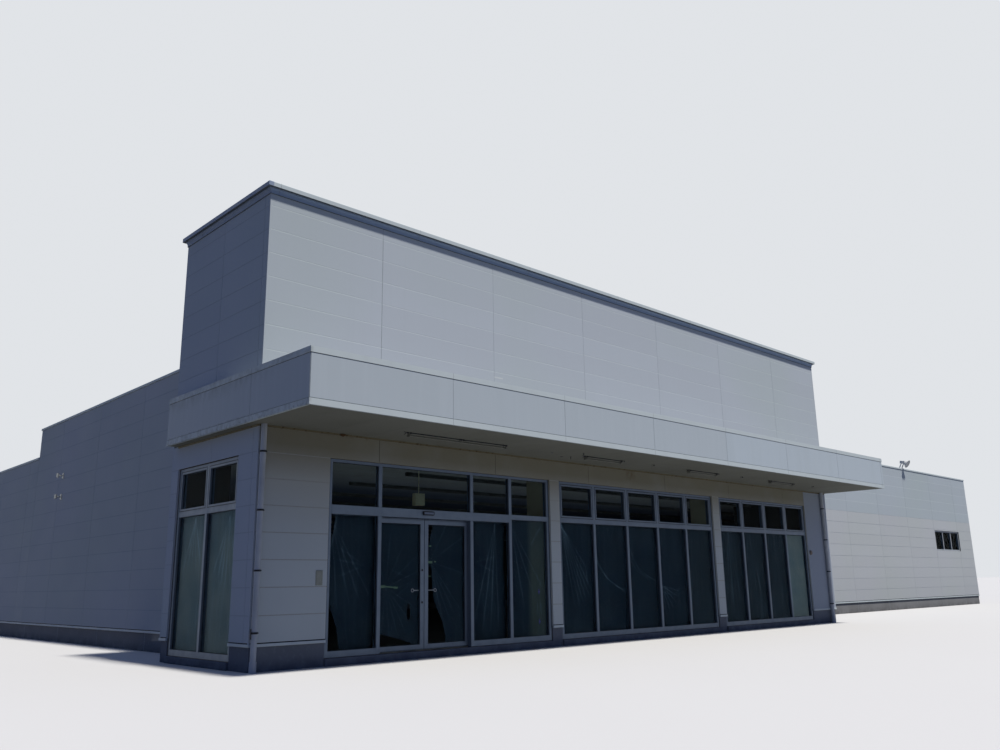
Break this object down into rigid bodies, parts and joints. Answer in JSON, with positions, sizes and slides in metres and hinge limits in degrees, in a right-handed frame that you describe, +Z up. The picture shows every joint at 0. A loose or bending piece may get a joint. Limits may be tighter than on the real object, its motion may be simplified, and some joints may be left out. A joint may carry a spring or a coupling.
{
  "type": "half-scale supermarket building",
  "caption": "Single-storey supermarket building with a glazed entrance block, canopy, raised front wall, sliding entrance door and a long low sales hall behind it, at half scale.",
  "frame": {"origin": "on the ground, on the centre line of the sliding entrance door, in the plane of the entrance block's front wall", "axes": "+X along the front to the right as seen from outside, +Y into the building, +Z up"},
  "size_m": [21.356, 13.62, 4.305],
  "materials": {
    "concrete": "matte",
    "siding": "matte",
    "coping_metal": "satin",
    "fascia_panel": "satin",
    "soffit_board": "matte",
    "roof_metal": "satin",
    "pipe_plastic": "matte",
    "lamp_metal": "satin",
    "galvanised_steel": "matte",
    "frame_aluminium": "satin",
    "window_glass": "gloss",
    "sensor_plastic": "gloss",
    "ceiling_board": "matte",
    "casing_board": "matte",
    "box_plastic": "satin",
    "dark_sheet": "satin"
  },
  "bodies": {
    "structure": {"floor_slab": "concrete", "entrance_sill": "concrete", "entrance_plinth": "concrete", "main_plinth_sides": "concrete", "main_plinth_ends": "concrete", "base_flashing": "coping_metal", "front_piers": "siding", "side_piers": "siding", "tower_front_wall": "siding", "tower_side_walls": "siding", "return_wall": "siding", "tower_back_wall": "siding", "tower_roof": "roof_metal", "tower_cornice": "coping_metal", "canopy_soffit": "soffit_board", "canopy_fascia": "fascia_panel", "canopy_roof": "roof_metal", "canopy_trims": "coping_metal", "side_walls_high": "siding", "side_walls_low": "siding", "back_wall": "siding", "step_wall": "siding", "wing_front_wall": "siding", "hall_roof": "roof_metal", "hall_copings": "coping_metal", "downpipes": "pipe_plastic", "strip_lights": "lamp_metal", "floodlight": "galvanised_steel", "service_brackets": "galvanised_steel", "door_bay_frame": "frame_aluminium", "door_header": "frame_aluminium", "window_frames": "frame_aluminium", "window_glass": "window_glass", "door_sensor": "sensor_plastic", "ceiling": "ceiling_board", "ceiling_lights": "lamp_metal", "column_casings": "casing_board", "hanging_box": "box_plastic", "window_sheets": "dark_sheet"},
    "left_door": {"left_door_leaf": "frame_aluminium", "left_door_glass": "window_glass", "left_door_sheet": "dark_sheet"},
    "right_door": {"right_door_leaf": "frame_aluminium", "right_door_glass": "window_glass", "right_door_sheet": "dark_sheet"}
  },
  "joints": [
    {"name": "left_door_slide", "type": "slide", "parent": "structure", "child": "left_door", "axis": [-1, 0, 0], "range_m": [0, 0.52]},
    {"name": "right_door_slide", "type": "slide", "parent": "structure", "child": "right_door", "axis": [1, 0, 0], "range_m": [0, 0.52]}
  ],
  "couplings": [
    {"joint": "right_door_slide", "follows": "left_door_slide", "ratio": 1}
  ]
}
